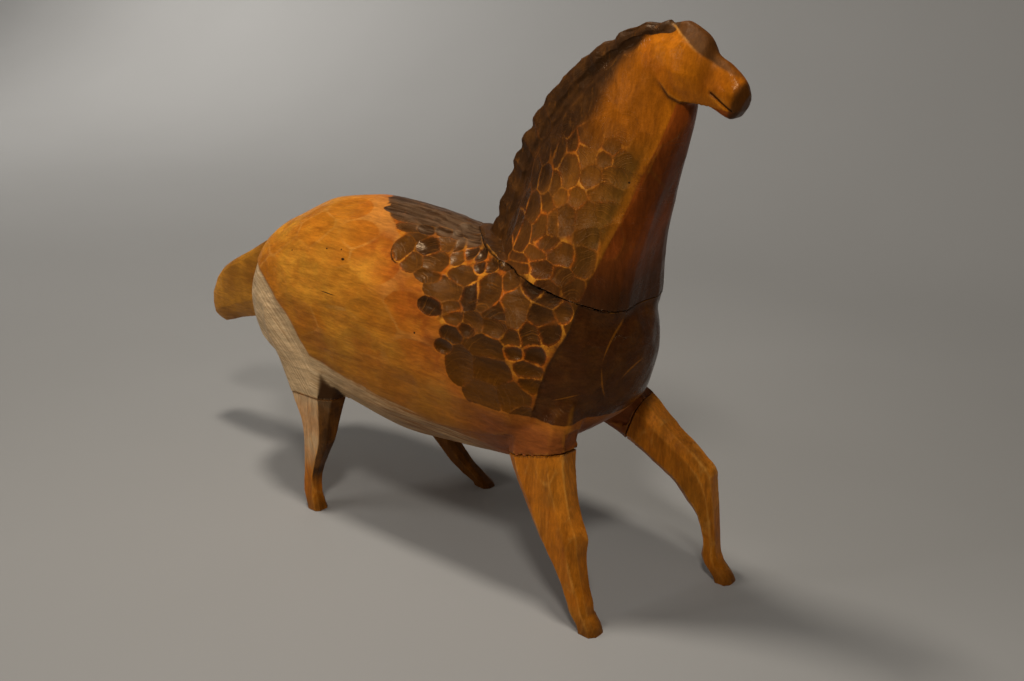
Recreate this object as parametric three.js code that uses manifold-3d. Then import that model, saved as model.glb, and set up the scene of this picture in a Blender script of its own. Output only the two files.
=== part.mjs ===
// A walking horse carved in wood, glued together from six pieces. Sizes are in millimetres.
// The horse walks towards +X, its left side is +Y and its soles stand on z = 0.
import * as THREE from "three";
import { mergeVertices } from "three/addons/utils/BufferGeometryUtils.js";
import Module from "manifold-3d";

// Driving sizes of the whole horse
const GLUE_GAP = 0.3;
const HOOF_TRACK = 60;
const BARREL_HALF_WIDTH = 65;
const SPINE_HALF_WIDTH = 4;
const CUTTER_SIZE = 1200;

// Distance between two neighbouring cross-sections of each kind of piece, and the number of steps
// on each stretch of a flank, from its top corner downwards
const TRUNK_STEP = 11;
const NECK_STEP = 5;
const HEAD_STEP = 4;
const LEG_STEP = 9;
const TRUNK_STRETCHES = [7, 4, 2, 1];
const TAIL_STRETCHES = [2, 2, 2];
const NECK_STRETCHES = [2, 1, 6, 4];
const HEAD_STRETCHES = [2, 2, 2, 1];
const LEG_STRETCHES = [1, 2, 1];

// Scallops along the top edge of the mane
const MANE_SCALLOP_PITCH = 19;
const MANE_SCALLOP_DEPTH = 3.2;

// The trunk, from the buttocks to the breast: spine and belly height at each x, and the half widths
// of its long edges. Edges that a station leaves out follow its waist.
const TRUNK = [
  { x: -268, spine: 196, belly: 158, waist: 14, top: 3 },
  { x: -262, spine: 212, belly: 142, waist: 36 },
  { x: -250, spine: 225, belly: 127, waist: 50 },
  { x: -225, spine: 241, belly: 109, waist: 59 },
  { x: -185, spine: 259, belly: 97, waist: 0.98 * BARREL_HALF_WIDTH },
  { x: -140, spine: 267, belly: 88, waist: BARREL_HALF_WIDTH },
  { x: -90, spine: 267, belly: 82, waist: BARREL_HALF_WIDTH },
  { x: -40, spine: 261, belly: 86, waist: 0.98 * BARREL_HALF_WIDTH },
  { x: 5, spine: 251.5, belly: 96, waist: 0.97 * BARREL_HALF_WIDTH, top: 28, flank: 61, keel: 38 },
  { x: 42, spine: 244.2, belly: 108, waist: 59.5, top: 43, flank: 61, keel: 47 },
  { x: 70, spine: 238.6, belly: 124, waist: 53, top: 45, flank: 51, keel: 34 },
  { x: 94, spine: 233.8, belly: 142, waist: 44, top: 39.5, flank: 35, keel: 18 },
  { x: 108, spine: 230.5, belly: 157, waist: 30, top: 20, flank: 21, keel: 10 },
  { x: 114, spine: 221, belly: 170, waist: 20, top: 11, flank: 13, keel: 6 },
  { x: 117.5, spine: 209, belly: 186, waist: 7, top: 4, flank: 5, keel: 3 },
];

// Levels of the trunk's long edges as shares of its height, and how full it is between them
const WAIST_LEVEL = 0.42;
const FLANK_LEVEL = 0.81;
const KEEL_LEVEL = 0.975;
const FLANK_SHARE = 0.94;
const KEEL_SHARE = 0.46;
const BACK_FULLNESS = 0.27;
const SIDE_FULLNESS = 2.5;
const BELLY_FULLNESS = 1.5;
const BELLY_SHARE = 0.25;

// The tail, from inside the rump to its flat end
const TAIL = [
  { top: [-215, 226], under: [-205, 172], half: 12 },
  { top: [-262, 214], under: [-248, 150], half: 13 },
  { top: [-306, 190], under: [-294, 131], half: 14 },
  { top: [-335, 174], under: [-328, 121], half: 14 },
  { top: [-351, 161], under: [-353, 112], half: 12 },
  { top: [-362, 143], under: [-360, 113], half: 10 },
];
const TAIL_TOP_SHARE = 0.45;
const TAIL_SHOULDER = { level: 0.1, share: 0.9, bulge: 0.6 };
const TAIL_RIDGE = { level: 0.72, share: 1, bulge: 1 };
const TAIL_UNDER = { share: 0.3, bulge: 0.5 };

// The neck, from inside the chest to the poll. The ridge is where its side turns into its front
const NECK = [
  { crest: [-36, 239], front: [107, 211], mane: 13, ridge: [0.82, 43], side: 16, breast: 11 },
  { crest: [-24, 258], front: [110, 230], mane: 11.5, ridge: [0.83, 42], side: 17, breast: 12 },
  { crest: [-10.5, 293], front: [115, 262], mane: 8, ridge: [0.86, 36], side: 12, breast: 8 },
  { crest: [9, 337], front: [123.5, 297], mane: 7.5, ridge: [0.91, 25], side: 8, breast: 5 },
  { crest: [41, 378], front: [133, 328], mane: 7, ridge: [0.92, 19], side: 5, breast: 3 },
  { crest: [80, 407], front: [140.5, 352], mane: 6.5, ridge: [0.91, 14.5], side: 4, breast: 2 },
  { crest: [106, 418], front: [144, 367], mane: 6, ridge: [0.9, 12.5], side: 5, breast: 1.5 },
  { crest: [124, 421], front: [145, 376], mane: 5, ridge: [0.9, 11], side: 6, breast: 1.5 },
];
const MANE_TOP_SHARE = 0.4;
const MANE_EDGE = { level: 0.1, bulge: 0.8 };
const MANE_GROOVE = { level: 0.13, depth: 1.4, sideShare: 0.06 };
const NECK_FRONT_SHARE = 0.12;

// The head, from inside the neck to the muzzle: forehead edge, cheek and jaw half widths
const HEAD = [
  { top: [110, 409], under: [119, 380], brow: 6, cheek: 9, jaw: 6 },
  { top: [124, 419], under: [128, 376], brow: 9, cheek: 13, jaw: 10 },
  { top: [137, 419.5], under: [136, 372], brow: 11, cheek: 15.5, jaw: 12 },
  { top: [147, 416], under: [145, 370.5], brow: 11, cheek: 15, jaw: 11 },
  { top: [154, 411], under: [151, 370.5], brow: 9.5, cheek: 13.5, jaw: 9.5 },
  { top: [158, 403], under: [156, 370], brow: 7.5, cheek: 11.5, jaw: 8 },
  { top: [167, 398], under: [163, 367.5], brow: 6.5, cheek: 9.6, jaw: 7 },
  { top: [174, 392.5], under: [169, 365], brow: 6.5, cheek: 9.4, jaw: 7 },
  { top: [179.5, 386.5], under: [174.5, 365], brow: 6, cheek: 8.6, jaw: 6.5 },
  { top: [182, 380], under: [178.5, 370], brow: 3.6, cheek: 5, jaw: 4 },
];
const POLL_SHARE = 0.22;
const BROW = { level: 0.24, bulge: 0.5 };
const CHEEK = { level: 0.6, bulge: 0.6 };
const JAW = { level: 0.95, bulge: 0.8 };
const CHIN_SHARE = 0.7;

// Each leg from inside the trunk down to its sole: front and back points seen from the side
const RIGHT_FORELEG = [
  { front: [88, 176], back: [40, 165], y: -32, half: 14 },
  { front: [89, 150], back: [37, 138], y: -43, half: 15.5 },
  { front: [88, 127], back: [39, 116], y: -49, half: 14.5 },
  { front: [94, 97], back: [53.5, 91], y: -53, half: 12.5 },
  { front: [104, 66], back: [71, 62], y: -56, half: 11 },
  { front: [107, 48], back: [83, 46], y: -57.5, half: 9.5 },
  { front: [113, 25], back: [95, 26], y: -59, half: 8.2 },
  { front: [116, 13], back: [102, 14], y: -59.5, half: 8 },
  { front: [121, 5], back: [107, 5], y: -60, half: 8.4 },
  { front: [123, 0], back: [108, 0], y: -HOOF_TRACK, half: 8.6 },
];
const LEFT_FORELEG = [
  { front: [56, 172], back: [28, 130], y: 31, half: 16 },
  { front: [75, 155], back: [52, 117], y: 40, half: 16 },
  { front: [90, 139], back: [77, 103], y: 47, half: 14.5 },
  { front: [112, 118], back: [100, 87], y: 51, half: 12.5 },
  { front: [133, 101], back: [116.5, 74], y: 54, half: 11 },
  { front: [143, 87], back: [126, 61], y: 56, half: 10.5 },
  { front: [146, 66], back: [133.5, 50], y: 58, half: 9 },
  { front: [149, 38], back: [138.5, 34], y: 59, half: 8 },
  { front: [152, 14], back: [140.5, 12], y: 59.5, half: 7.6 },
  { front: [158, 4.5], back: [146, 4.5], y: 60, half: 8.2 },
  { front: [160, 0], back: [148, 0], y: HOOF_TRACK, half: 8.4 },
];
const RIGHT_HIND_LEG = [
  { front: [-150, 200], back: [-236, 202], y: -34, half: 21 },
  { front: [-142, 158], back: [-238, 160], y: -43, half: 21 },
  { front: [-142, 128], back: [-215, 128], y: -46, half: 18.5 },
  { front: [-147, 103], back: [-199, 105], y: -51, half: 14.5 },
  { front: [-150, 82], back: [-185, 84], y: -55, half: 11.5 },
  { front: [-152, 66], back: [-180.5, 66], y: -58, half: 9.2 },
  { front: [-159, 50], back: [-180, 50], y: -59.5, half: 7.4 },
  { front: [-166, 32], back: [-181.5, 33], y: -60, half: 6.2 },
  { front: [-167, 14], back: [-183.5, 14], y: -60.5, half: 6.2 },
  { front: [-164, 4.5], back: [-179.5, 4.5], y: -61, half: 6.8 },
  { front: [-162.5, 0], back: [-178, 0], y: -HOOF_TRACK - 1, half: 7.2 },
];
const LEFT_HIND_LEG = [
  { front: [-150, 195], back: [-238, 190], y: 34, half: 21 },
  { front: [-147, 153], back: [-234, 146], y: 43, half: 20.5 },
  { front: [-143, 124], back: [-212, 116], y: 47, half: 18 },
  { front: [-139, 102], back: [-192, 92], y: 52, half: 14.5 },
  { front: [-132, 74], back: [-171, 62], y: 56, half: 11.5 },
  { front: [-126, 50], back: [-158, 43], y: 59, half: 9 },
  { front: [-116, 31], back: [-140, 28], y: 60.5, half: 7.2 },
  { front: [-101, 17], back: [-121, 11], y: 61, half: 6.4 },
  { front: [-89, 9], back: [-106, 4.5], y: 61, half: 6.4 },
  { front: [-80.5, 3.5], back: [-98, 2], y: 61, half: 7 },
  { front: [-78, 0], back: [-96, 0], y: HOOF_TRACK + 1, half: 7.2 },
];
const LEG_CHAMFER = { level: 0.2, share: 0.55 };

// Glue seams: a point on each and the direction towards the free end of the glued piece
const NECK_SEAM = { point: [87, 0, 236], towards: [0.2, 0, 1] };
const RIGHT_FORE_SEAM = { point: [45, -62, 118], towards: [0.28, -0.1, -1] };
const LEFT_FORE_SEAM = { point: [82, 38, 116], towards: [0.94, 0.1, -0.34] };
const RIGHT_HIND_SEAM = { point: [-175, -52, 104], towards: [0.03, -0.08, -1] };
const LEFT_HIND_SEAM = { point: [-168, 52, 98], towards: [0.19, 0.08, -1] };

const wasm = await Module();
wasm.setup();

// A cross-section lies in a plane through the side-view points near and far, which are [x, z].
// Its corners run down one side as { level, width, bulge }: level 0 is at near and 1 at far,
// and bulge swells the stretch that leads to the corner. The other side mirrors it about y.
function sectionRow(near, far, y, corners) {
  const row = [near[0], near[1], far[0], far[1], y];
  for (const corner of corners) {
    row.push(corner.level, corner.width, corner.bulge ?? 0);
  }
  return row;
}

// Points of one flank of a section, each as [distance from near, half width]
function flankPoints(row, stretchSteps, swell) {
  const height = Math.hypot(row[2] - row[0], row[3] - row[1]);
  const corners = [];
  for (let index = 5; index < row.length; index += 3) {
    const level = row[index] * (height + 2 * swell) - swell;
    corners.push({ place: new THREE.Vector2(level, row[index + 1] + swell), bulge: row[index + 2] });
  }
  const points = [corners[0].place];
  for (let index = 1; index < corners.length; index += 1) {
    const start = corners[index - 1].place;
    const end = corners[index].place;
    const along = end.clone().sub(start).normalize();
    const outward = new THREE.Vector2(-along.y, along.x);
    const bend = start.clone().lerp(end, 0.5).addScaledVector(outward, 2 * corners[index].bulge);
    const stretch = new THREE.QuadraticBezierCurve(start, bend, end);
    points.push(...stretch.getPoints(stretchSteps[index - 1]).slice(1));
  }
  return points;
}

// The closed ring of one section, right flank downwards and left flank back up
function sectionRing(row, stretchSteps, swell) {
  const near = new THREE.Vector3(row[0], row[4], row[1]);
  const far = new THREE.Vector3(row[2], row[4], row[3]);
  const down = far.clone().sub(near).normalize();
  const place = (point, side) => {
    const spot = near.clone().addScaledVector(down, point.x);
    spot.y += side * point.y;
    return spot;
  };
  const flank = flankPoints(row, stretchSteps, swell);
  const right = flank.map((point) => place(point, -1));
  const left = flank.map((point) => place(point, 1));
  return [...right, ...left.reverse()];
}

// Sections in between the given ones, evenly spread and smoothly curved from one to the next
function refineRows(rows, step) {
  const middle = (row) => new THREE.Vector3((row[0] + row[2]) / 2, row[4], (row[1] + row[3]) / 2);
  const positions = [0];
  for (let index = 1; index < rows.length; index += 1) {
    positions.push(positions[index - 1] + middle(rows[index - 1]).distanceTo(middle(rows[index])));
  }
  const curve = new THREE.CubicInterpolant(positions, rows.flat(), rows[0].length);
  const refined = [];
  for (let index = 1; index < rows.length; index += 1) {
    const length = positions[index] - positions[index - 1];
    const count = Math.max(1, Math.round(length / step));
    for (let part = 0; part < count; part += 1) {
      refined.push(Array.from(curve.evaluate(positions[index - 1] + (length * part) / count)));
    }
  }
  refined.push(rows[rows.length - 1]);
  return refined;
}

// A closed skin over a row of rings that all have the same number of points
function skinRings(rings) {
  const ringSize = rings[0].length;
  const positions = rings.flat().flatMap((point) => point.toArray());
  const triangles = [];
  for (let ring = 0; ring + 1 < rings.length; ring += 1) {
    for (let index = 0; index < ringSize; index += 1) {
      const next = (index + 1) % ringSize;
      const low = ring * ringSize;
      const high = low + ringSize;
      triangles.push(low + index, high + index, low + next);
      triangles.push(low + next, high + index, high + next);
    }
  }
  const caps = [rings[0], rings[rings.length - 1]];
  for (const [which, ring] of caps.entries()) {
    const centre = ring.reduce((sum, point) => sum.add(point), new THREE.Vector3());
    const hub = positions.length / 3;
    positions.push(...centre.divideScalar(ringSize).toArray());
    const base = which * (rings.length - 1) * ringSize;
    for (let index = 0; index < ringSize; index += 1) {
      const next = (index + 1) % ringSize;
      const edge = which === 0 ? [base + index, base + next] : [base + next, base + index];
      triangles.push(hub, ...edge);
    }
  }
  const geometry = new THREE.BufferGeometry();
  geometry.setAttribute("position", new THREE.Float32BufferAttribute(positions, 3));
  geometry.setIndex(facesOut(positions, triangles));
  return geometry;
}

// Turns every triangle over if the skin is inside out, which its signed volume shows
function facesOut(positions, triangles) {
  const corner = (index) => new THREE.Vector3().fromArray(positions, 3 * triangles[index]);
  let volume = 0;
  for (let index = 0; index < triangles.length; index += 3) {
    volume += corner(index).dot(corner(index + 1).cross(corner(index + 2)));
  }
  return volume < 0 ? triangles.toReversed() : triangles;
}

function solidOf(geometry) {
  const bare = geometry.clone();
  bare.deleteAttribute("normal");
  bare.deleteAttribute("uv");
  const merged = mergeVertices(bare);
  const vertProperties = new Float32Array(merged.attributes.position.array);
  const triVerts = new Uint32Array(merged.index.array);
  return new wasm.Manifold(new wasm.Mesh({ numProp: 3, vertProperties, triVerts }));
}

function geometryOf(solid) {
  const mesh = solid.getMesh();
  const geometry = new THREE.BufferGeometry();
  geometry.setAttribute("position", new THREE.Float32BufferAttribute(mesh.vertProperties, 3));
  geometry.setIndex(Array.from(mesh.triVerts));
  return geometry;
}

// Everything on the far side of a seam, moved by shift along the seam's direction
function beyondSeam(seam, shift) {
  const towards = new THREE.Vector3(...seam.towards).normalize();
  const turn = new THREE.Quaternion().setFromUnitVectors(new THREE.Vector3(0, 0, 1), towards);
  const block = new THREE.BoxGeometry(CUTTER_SIZE, CUTTER_SIZE, CUTTER_SIZE);
  block.translate(0, 0, CUTTER_SIZE / 2 + shift);
  block.applyQuaternion(turn);
  block.translate(...seam.point);
  return solidOf(block);
}

// Cuts a limb off at its seam and gives the trunk the stub and a clear pocket for the limb
function glueLimb(trunk, limb, pocket, seam) {
  const stub = limb.subtract(beyondSeam(seam, -GLUE_GAP));
  const clearance = pocket.intersect(beyondSeam(seam, -GLUE_GAP));
  const carried = trunk.add(stub).subtract(clearance);
  return { trunk: carried, limb: limb.intersect(beyondSeam(seam, 0)) };
}

function trunkSolid() {
  const rows = TRUNK.map((station) => {
    const { x, spine, belly, waist, top = SPINE_HALF_WIDTH } = station;
    const { flank = FLANK_SHARE * waist, keel = KEEL_SHARE * waist } = station;
    return sectionRow([x, spine], [x, belly], 0, [
      { level: 0, width: top },
      { level: WAIST_LEVEL, width: waist, bulge: BACK_FULLNESS * Math.max(0, waist - top) },
      { level: FLANK_LEVEL, width: flank, bulge: SIDE_FULLNESS },
      { level: KEEL_LEVEL, width: keel, bulge: BELLY_FULLNESS },
      { level: 1, width: BELLY_SHARE * keel },
    ]);
  });
  const rings = refineRows(rows, TRUNK_STEP).map((row) => sectionRing(row, TRUNK_STRETCHES, 0));
  return solidOf(skinRings(rings));
}

function tailSolid() {
  const rows = TAIL.map(({ top, under, half }) => sectionRow(top, under, 0, [
    { level: 0, width: TAIL_TOP_SHARE * half },
    { level: TAIL_SHOULDER.level, width: TAIL_SHOULDER.share * half, bulge: TAIL_SHOULDER.bulge },
    { level: TAIL_RIDGE.level, width: TAIL_RIDGE.share * half, bulge: TAIL_RIDGE.bulge },
    { level: 1, width: TAIL_UNDER.share * half, bulge: TAIL_UNDER.bulge },
  ]));
  const rings = refineRows(rows, TRUNK_STEP).map((row) => sectionRing(row, TAIL_STRETCHES, 0));
  return solidOf(skinRings(rings));
}

// The crest drops into a notch between every two scallops of the mane, and the side stays as it is
const GROOVE_COLUMN = 11;
function scallopMane(rows) {
  let run = 0;
  return rows.map((row, index) => {
    if (index > 0) {
      run += Math.hypot(row[0] - rows[index - 1][0], row[1] - rows[index - 1][1]);
    }
    const arch = Math.abs(Math.sin((Math.PI * run) / MANE_SCALLOP_PITCH));
    const notch = MANE_SCALLOP_DEPTH * (1 - Math.sqrt(arch));
    const height = Math.hypot(row[2] - row[0], row[3] - row[1]);
    const carved = [...row];
    carved[0] += ((row[2] - row[0]) * notch) / height;
    carved[1] += ((row[3] - row[1]) * notch) / height;
    for (let level = GROOVE_COLUMN; level < row.length; level += 3) {
      carved[level] = (row[level] * height - notch) / (height - notch);
    }
    return carved;
  });
}

function neckSolid(swell) {
  const rows = NECK.map(({ crest, front, mane, ridge, side, breast }) => sectionRow(crest, front, 0, [
    { level: 0, width: MANE_TOP_SHARE * mane },
    { level: MANE_EDGE.level, width: mane, bulge: MANE_EDGE.bulge },
    { level: MANE_GROOVE.level, width: mane - MANE_GROOVE.depth + MANE_GROOVE.sideShare * side },
    { level: ridge[0], width: ridge[1], bulge: side },
    { level: 1, width: NECK_FRONT_SHARE * ridge[1], bulge: breast },
  ]));
  const carved = scallopMane(refineRows(rows, NECK_STEP));
  return solidOf(skinRings(carved.map((row) => sectionRing(row, NECK_STRETCHES, swell))));
}

function headSolid() {
  const rows = HEAD.map(({ top, under, brow, cheek, jaw }) => sectionRow(top, under, 0, [
    { level: 0, width: POLL_SHARE * brow },
    { level: BROW.level, width: brow, bulge: BROW.bulge },
    { level: CHEEK.level, width: cheek, bulge: CHEEK.bulge },
    { level: JAW.level, width: jaw, bulge: JAW.bulge },
    { level: 1, width: CHIN_SHARE * jaw },
  ]));
  const rings = refineRows(rows, HEAD_STEP).map((row) => sectionRing(row, HEAD_STRETCHES, 0));
  return solidOf(skinRings(rings));
}

function legSolid(stations, swell) {
  const rows = stations.map(({ front, back, y, half }) => sectionRow(front, back, y, [
    { level: 0, width: LEG_CHAMFER.share * half },
    { level: LEG_CHAMFER.level, width: half },
    { level: 1 - LEG_CHAMFER.level, width: half },
    { level: 1, width: LEG_CHAMFER.share * half },
  ]));
  const rings = refineRows(rows, LEG_STEP).map((row) => sectionRing(row, LEG_STRETCHES, swell));
  return solidOf(skinRings(rings));
}

function pieceMesh(name, solid, color) {
  const material = new THREE.MeshStandardMaterial({ color, roughness: WAXED_ROUGHNESS, metalness: 0 });
  const mesh = new THREE.Mesh(geometryOf(solid), material);
  mesh.geometry.computeVertexNormals();
  mesh.name = name;
  return mesh;
}

const WAXED_ROUGHNESS = 0.42;
const LEGS = [
  { name: "right_foreleg", stations: RIGHT_FORELEG, seam: RIGHT_FORE_SEAM, color: 0xa5602a },
  { name: "left_foreleg", stations: LEFT_FORELEG, seam: LEFT_FORE_SEAM, color: 0xa05a26 },
  { name: "right_hind_leg", stations: RIGHT_HIND_LEG, seam: RIGHT_HIND_SEAM, color: 0x9a5624 },
  { name: "left_hind_leg", stations: LEFT_HIND_LEG, seam: LEFT_HIND_SEAM, color: 0x8a4c22 },
];

const horse = new THREE.Group();
const neck = neckSolid(0).add(headSolid());
let carving = glueLimb(trunkSolid().add(tailSolid()), neck, neckSolid(GLUE_GAP), NECK_SEAM);
horse.add(pieceMesh("neck_and_head", carving.limb, 0x8a4e22));
for (const { name, stations, seam, color } of LEGS) {
  const pocket = legSolid(stations, GLUE_GAP);
  carving = glueLimb(carving.trunk, legSolid(stations, 0), pocket, seam);
  horse.add(pieceMesh(name, carving.limb, color));
}
horse.add(pieceMesh("body", carving.trunk, 0xa8662c));

// The origin lies on the floor under the middle of the horse
const outline = new THREE.Box3().setFromObject(horse);
const middle = outline.getCenter(new THREE.Vector3());
horse.position.set(-middle.x, -middle.y, -outline.min.z);

export default horse;
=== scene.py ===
"""A walking horse carved in wood: six glued pieces, cut with knife and gouge, stained and waxed."""
import math

import bpy
import numpy as np
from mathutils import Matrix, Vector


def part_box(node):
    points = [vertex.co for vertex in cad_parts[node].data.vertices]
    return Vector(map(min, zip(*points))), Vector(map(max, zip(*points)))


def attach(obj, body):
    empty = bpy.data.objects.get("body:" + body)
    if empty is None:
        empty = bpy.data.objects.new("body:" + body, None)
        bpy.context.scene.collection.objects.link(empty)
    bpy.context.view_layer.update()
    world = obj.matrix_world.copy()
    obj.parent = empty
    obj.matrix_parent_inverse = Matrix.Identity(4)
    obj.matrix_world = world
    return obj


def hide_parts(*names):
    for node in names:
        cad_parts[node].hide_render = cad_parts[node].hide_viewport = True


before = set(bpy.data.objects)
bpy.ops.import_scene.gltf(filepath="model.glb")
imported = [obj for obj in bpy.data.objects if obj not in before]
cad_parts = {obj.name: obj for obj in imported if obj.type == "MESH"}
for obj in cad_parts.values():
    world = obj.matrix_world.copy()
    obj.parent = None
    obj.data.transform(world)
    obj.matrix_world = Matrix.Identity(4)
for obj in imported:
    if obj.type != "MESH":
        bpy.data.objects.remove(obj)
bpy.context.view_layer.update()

# All sizes below are in millimetres in the frame's own axes: the horse walks towards +X, its right
# side is -Y and its soles stand on z = 0
MM = 0.001

# Voxel size of each carved piece and how long it is rubbed down before the gouge is used
BODY_VOXEL = 1.75
NECK_VOXEL = 0.85
LEG_VOXEL = 0.75
BODY_RUBS = 12
NECK_RUBS = 14
LEG_RUBS = 3
FACE_RUBS = 40
# Triangles that a finished piece is thinned to where it has more
MOST_TRIANGLES = 190000

# Glue seams: a point on each and the direction towards the free end of the glued piece. The body is
# sawn a little under the neck, and the neck's blank far enough under its seam to be rubbed down over it
NECK_SEAM = ((177, 0, 236), (0.2, 0, 1))
BODY_TOP = ((177, 0, 235.8), (0.2, 0, 1))
NECK_BLANK = ((177, 0, 214), (0.2, 0, 1))
LEG_SEAMS = {
    "right_foreleg": ((135, -62, 118), (0.28, -0.1, -1)),
    "left_foreleg": ((172, 38, 116), (0.94, 0.1, -0.34)),
    "right_hind_leg": ((-85, -52, 104), (0.03, -0.08, -1)),
    "left_hind_leg": ((-78, 52, 98), (0.19, 0.08, -1)),
}

# How far the neck is pressed against the body, how deep the glue seams are, and how far the left
# foreleg is pressed home and how dark its seam is on either side of it
NECK_PRESS = 0.35
SEAM_DEPTH = 0.25
LEFT_FORELEG_PRESS = 0.22
LEFT_FORELEG_SEAM = 0.3
LEFT_STUB_SEAM = 0.45

# Outlines seen from the side, as (x, z)
MANE_CREST = [(54, 239), (66, 258), (79, 293), (99, 337), (131, 378), (170, 407), (196, 418), (214, 421)]
NECK_RIDGE = [(228, 372), (226, 366), (220, 348), (209, 322), (199, 294), (189, 266), (178, 239), (174, 218)]
CHEST_RIDGE = [(178, 239), (174, 218), (166, 203), (159, 189), (156, 176), (150, 152), (144, 130)]

# Outline of the neck's foot on the back, as (x, y) of the left half
NECK_FOOT = [(54, 0), (56, 4), (62, 9), (70, 18), (80, 26), (92, 33), (105, 37.5), (117, 41)]

# Rear edge of the dark saddle: x at each height
SADDLE_Z = [140, 148, 150, 153, 165, 177, 186, 198, 208, 221, 229, 237, 244, 251, 260, 268]
SADDLE_X = [175, 150, 126, 99, 85, 77, 68, 66, 50, 43, 32, 18, 8, 4, -16, -37]
# Upper edge of the pale wood on haunch and belly: z at each x
PALE_X = [-180, -144, -122, -104, -90, -76, -39, -6, 25, 80, 130, 165]
PALE_Z = [206, 199, 187, 173, 159, 143, 136, 131, 127, 119, 110, 104]

# Gouge cuts of the right shoulder and of the right side of the neck: place, half length along the
# horse and half height
SHOULDER_CUTS = [
    (12, -41, 244, 8, 10), (33, -34, 248, 9, 7), (25, -46, 237, 9, 7), (46, -41, 240, 10, 8),
    (46, -28, 251, 9, 6), (56, -25, 252, 6, 7), (63, -34, 245, 6, 7), (70, -29, 249, 6, 6),
    (81, -29, 249, 5, 6), (87, -38, 243, 5, 5), (95, -36, 245, 6, 5), (45, -49, 231, 11, 5),
    (75, -44, 236, 12, 7), (64, -53, 225, 16, 9), (89, -52, 225, 8, 10), (103, -49, 231, 10, 12),
    (56, -58, 212, 11, 6), (74, -57, 215, 10, 6), (64, -21, 254, 7, 6), (21, -23, 256, 8, 4),
    (35, -20, 256, 8, 4), (47, -18, 256, 6, 5), (52, -9, 259, 10, 6), (59, -14, 257, 8, 4),
    (93, -61, 204, 8, 6), (116, -58, 210, 10, 7), (131, -58, 205, 8, 7), (146, -55, 210, 8, 10),
    (158, -51, 216, 9, 9), (80, -62, 197, 10, 6), (110, -61, 194, 17, 8), (134, -59, 195, 8, 5),
    (150, -56, 196, 8, 7), (89, -64, 176, 12, 13), (115, -63, 178, 17, 10), (146, -57, 185, 10, 6),
    (149, -58, 175, 8, 6), (111, -64, 159, 16, 11), (134, -62, 163, 14, 10), (73, -64, 186, 8, 5),
    (120, -43, 241, 7, 7), (130, -52, 225, 11, 13), (116, -57, 219, 10, 8), (96, -60, 209, 10, 7),
    (80, -59, 210, 9, 6), (153, -51, 224, 11, 8), (156, -47, 236, 10, 6), (167, -47, 229, 7, 7),
    (142, -46, 240, 9, 6),
]
NECK_CUTS = [
    (119, -30, 270, 8, 12), (136, -32, 279, 8, 11), (147, -33, 284, 7, 10), (123, -24, 290, 9, 10),
    (157, -32, 290, 9, 10), (173, -31, 293, 9, 9), (188, -28, 298, 9, 9), (148, -27, 302, 8, 6),
    (162, -28, 303, 8, 7), (142, -23, 309, 6, 9), (152, -22, 320, 9, 12), (163, -21, 330, 10, 9),
    (172, -24, 319, 8, 7), (166, -18, 345, 10, 9), (151, -18, 336, 6, 9), (185, -20, 341, 6, 6),
    (181, -22, 331, 6, 5), (185, -26, 310, 11, 7), (160, -39, 267, 12, 7), (135, -38, 263, 12, 5),
    (120, -37, 257, 12, 4), (121, -39, 251, 14, 4), (146, -43, 255, 10, 6), (162, -42, 253, 9, 6),
    (177, -37, 266, 8, 11), (145, -37, 272, 11, 6), (130, -20, 310, 7, 9), (183, -18, 353, 7, 8),
    (197, -18, 353, 8, 9), (172, -15, 364, 6, 7), (197, -21, 331, 9, 6), (192, -23, 321, 11, 6),
    (178, -34, 280, 9, 8), (193, -31, 282, 7, 11),
]

# Lines of the face seen from the side: mouth slit, edge of the jaw over the neck and lower edge of
# the dark forehead
MOUTH_LINE = [(250, 379.8), (257, 374.5), (264, 370)]
JAW_LINE = [(207, 402), (211, 393), (215, 384), (222, 376), (230, 372.5), (242, 371.5)]
FACE_LINE = [
    (200, 424), (212, 420.5), (219, 417.6), (229, 411), (238, 404.7), (251, 396), (267, 389), (280, 382),
]

# Swells of the carving: place, reach and push
FACE_SWELLS = [
    ((225, 0, 417), 6, (0, 0, 1.4)), ((262, -8, 382), 6, (0.6, -1.3, 0)), ((262, 8, 382), 6, (0.6, 1.3, 0)),
    ((247, -12, 388), 7, (0, 1.2, 0)), ((247, 12, 388), 7, (0, -1.2, 0)),
]
LEG_SWELLS = {
    "right_foreleg": [
        ((195, -50, 68), 11, (3, 0, 0)), ((201, -54, 46), 14, (2.6, 0, 0)), ((203, -56, 24), 11, (1.5, 0, 0)),
        ((208, -60, 2), 11, (3, 0, 0)), ((193, -60, 12), 7, (-4, 0, 0)),
    ],
    "left_foreleg": [
        ((233, 58, 91), 8, (2.6, 0, 1.6)), ((246, 60, 3), 13, (5.5, 0, 0)), ((229, 59, 17), 7, (-2.5, 0, 0)),
    ],
}

# Long hollow cut of the right foreleg under the knee: place, half length along the horse and half height
CANNON_CUT = ((198, -57, 46), 10, 21)
# Depths of the gouge cuts on the shoulder, low and high on the neck and in the hollow of the leg
SHOULDER_DEPTH = 2.3
LOW_NECK_DEPTH = 1.4
HIGH_NECK_DEPTH = 0.6
CANNON_DEPTH = 2.0
# Height on the neck from which the cuts are shallow
SHALLOW_FROM = 330

# Width of the mane's strip and reach of the dark stain beside it, from the crest, at each height
MANE_STRIP_Z = [284, 341, 364, 382, 396, 410]
MANE_STRIP = [15, 16.5, 17, 12.5, 10, 7]
SHADE_Z = [250, 268, 285, 300, 324, 345, 363, 378, 395, 410]
SHADE_REACH = [46, 50, 56, 62, 64, 58, 47, 36, 25, 14]

# Where the floor begins to sweep up and the radius of the sweep, in metres
FLOOR_END = 0.75
FLOOR_BEND = 0.7

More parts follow.
